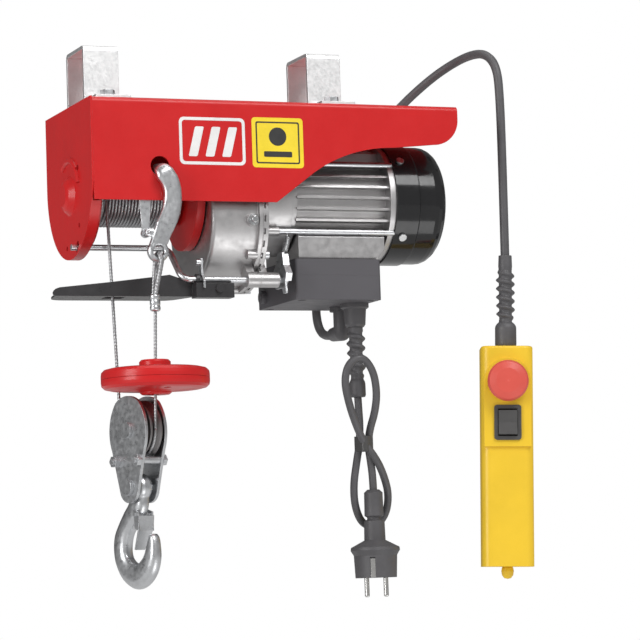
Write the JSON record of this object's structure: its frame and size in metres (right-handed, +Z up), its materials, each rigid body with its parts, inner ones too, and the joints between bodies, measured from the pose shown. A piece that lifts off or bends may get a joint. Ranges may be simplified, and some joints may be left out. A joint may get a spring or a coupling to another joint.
{
  "type": "electric wire rope hoist",
  "caption": "Beam-hung electric wire rope hoist: geared motor and rope drum in a folded housing, pulley block with latched hook, counterweight, stop lever, mains lead and push-button pendant.",
  "frame": {"origin": "on the top plate of the housing, midway between the two hangers and midway front to back, where the beam rests", "axes": "+X along the hoist from drum to motor, +Y to the back, +Z up"},
  "size_m": [0.5032, 0.2459, 0.5547],
  "materials": {
    "red_paint": "glossy paint",
    "galvanised": "galvanised",
    "zinc": "zinc plated",
    "steel": "bright steel",
    "wire_rope": "stranded steel wire",
    "cast_aluminium": "as cast, lightly blasted",
    "black_gloss": "gloss black",
    "black_paint": "satin black",
    "box_plastic": "fine moulded texture",
    "black_rubber": "matt",
    "yellow_plastic": "satin moulded",
    "red_plastic": "satin moulded",
    "black_plastic": "satin moulded",
    "grey_plastic": "moulded",
    "bronze": "sintered",
    "core_steel": "laminated steel and copper",
    "chrome_plate": "nickel plated"
  },
  "bodies": {
    "frame": {"housing": "red_paint", "end_plate": "red_paint", "drum_bush": "bronze", "hangers": "galvanised", "hanger_bolts": "zinc", "gear_case": "cast_aluminium", "gear_cover": "cast_aluminium", "case_screws": "zinc", "oil_plug": "steel", "end_bell": "cast_aluminium", "motor_housing": "cast_aluminium", "stator": "core_steel", "fan_cover": "black_gloss", "tie_rods": "zinc", "box_body": "box_plastic", "box_cover": "box_plastic", "capacitor": "grey_plastic", "limit_switch": "black_plastic", "mains_gland": "black_rubber", "mains_strain_relief": "black_rubber", "pendant_gland": "black_rubber", "mains_cord": "black_rubber", "cord_tie": "black_plastic", "plug": "black_rubber", "plug_pins": "chrome_plate", "pendant_cable": "black_rubber", "pendant_strain_relief": "black_rubber", "pendant_front_shell": "yellow_plastic", "pendant_rear_shell": "yellow_plastic", "pendant_end_screw": "yellow_plastic", "contact_block": "grey_plastic", "rocker_frame": "black_plastic", "estop_collar": "black_plastic", "anchor_hook": "zinc", "rope_end_loop": "wire_rope", "rope_fall_anchor": "wire_rope", "rope_fall_drum": "wire_rope", "return_spring": "steel"},
    "drum": {"drum": "red_paint", "drum_shaft": "steel", "rope_coil": "wire_rope", "drum_gear": "steel"},
    "layshaft": {"layshaft": "steel"},
    "rotor": {"rotor": "core_steel", "fan": "black_plastic"},
    "block": {"block_cheeks": "zinc", "block_axle": "zinc", "block_bolts": "zinc", "counterweight": "red_paint", "rope_on_pulley": "wire_rope"},
    "pulley": {"pulley": "core_steel"},
    "load_hook": {"load_hook": "zinc"},
    "load_latch": {"load_latch": "zinc"},
    "anchor_latch": {"anchor_latch": "zinc"},
    "limit_lever": {"stop_lever": "black_paint", "limit_rod": "zinc", "cam_plate": "zinc"},
    "estop": {"estop_button": "red_plastic"},
    "rocker": {"rocker": "black_plastic"}
  },
  "joints": [
    {"name": "motor_turn", "type": "hinge", "parent": "frame", "child": "rotor", "pos_m": [0.123, 0, -0.09], "axis": [1, 0, 0], "range_deg": [-5879, 461719]},
    {"name": "layshaft_turn", "type": "hinge", "parent": "frame", "child": "layshaft", "pos_m": [0.013, 0, -0.134], "axis": [1, 0, 0], "range_deg": [-112312, 1432]},
    {"name": "drum_turn", "type": "hinge", "parent": "frame", "child": "drum", "pos_m": [-0.082, 0, -0.086], "axis": [1, 0, 0], "range_deg": [-255, 19822]},
    {"name": "hook_lift", "type": "slide", "parent": "frame", "child": "block", "axis": [0, 0, 1], "range_m": [-5.5, 0.07], "deforming": ["rope_fall_drum", "rope_fall_anchor"]},
    {"name": "pulley_turn", "type": "hinge", "parent": "block", "child": "pulley", "pos_m": [-0.097, -0.0561, -0.317], "axis": [0.9397, 0.342, 0], "range_deg": [-11894, 154]},
    {"name": "hook_swing", "type": "hinge", "parent": "block", "child": "load_hook", "pos_m": [-0.097, -0.0561, -0.371], "axis": [0.9397, 0.342, 0], "range_deg": [-40, 40]},
    {"name": "load_latch_open", "type": "hinge", "parent": "load_hook", "child": "load_latch", "pos_m": [-0.09597, -0.05892, -0.397], "axis": [0.9397, 0.342, 0], "range_deg": [-18, 17], "stiffness_Nm_per_rad": 0.02},
    {"name": "anchor_latch_open", "type": "hinge", "parent": "frame", "child": "anchor_latch", "pos_m": [-0.09, -0.074, -0.131], "axis": [0, 1, 0], "range_deg": [0, 20], "stiffness_Nm_per_rad": 0.02, "springref_deg": -22.92},
    {"name": "stop_lever_tilt", "type": "hinge", "parent": "frame", "child": "limit_lever", "pos_m": [0.008, -0.052, -0.172], "axis": [1, 0, 0], "range_deg": [0, 5], "stiffness_Nm_per_rad": 0.4, "springref_deg": -11.46, "deforming": ["return_spring"]},
    {"name": "estop_press", "type": "slide", "parent": "frame", "child": "estop", "axis": [0.3649, 0.9311, 0], "range_m": [0, 0.004]},
    {"name": "rocker_tilt", "type": "hinge", "parent": "frame", "child": "rocker", "pos_m": [0.29007, -0.05337, -0.31342], "axis": [0.9306, -0.3647, -0.0314], "range_deg": [-8, 8], "stiffness_Nm_per_rad": 0.15}
  ],
  "couplings": [
    {"joint": "motor_turn", "follows": "hook_lift", "rad_per_m": -1465.2},
    {"joint": "layshaft_turn", "follows": "hook_lift", "rad_per_m": 356.39},
    {"joint": "drum_turn", "follows": "hook_lift", "rad_per_m": -62.893},
    {"joint": "pulley_turn", "follows": "hook_lift", "rad_per_m": 37.736}
  ]
}
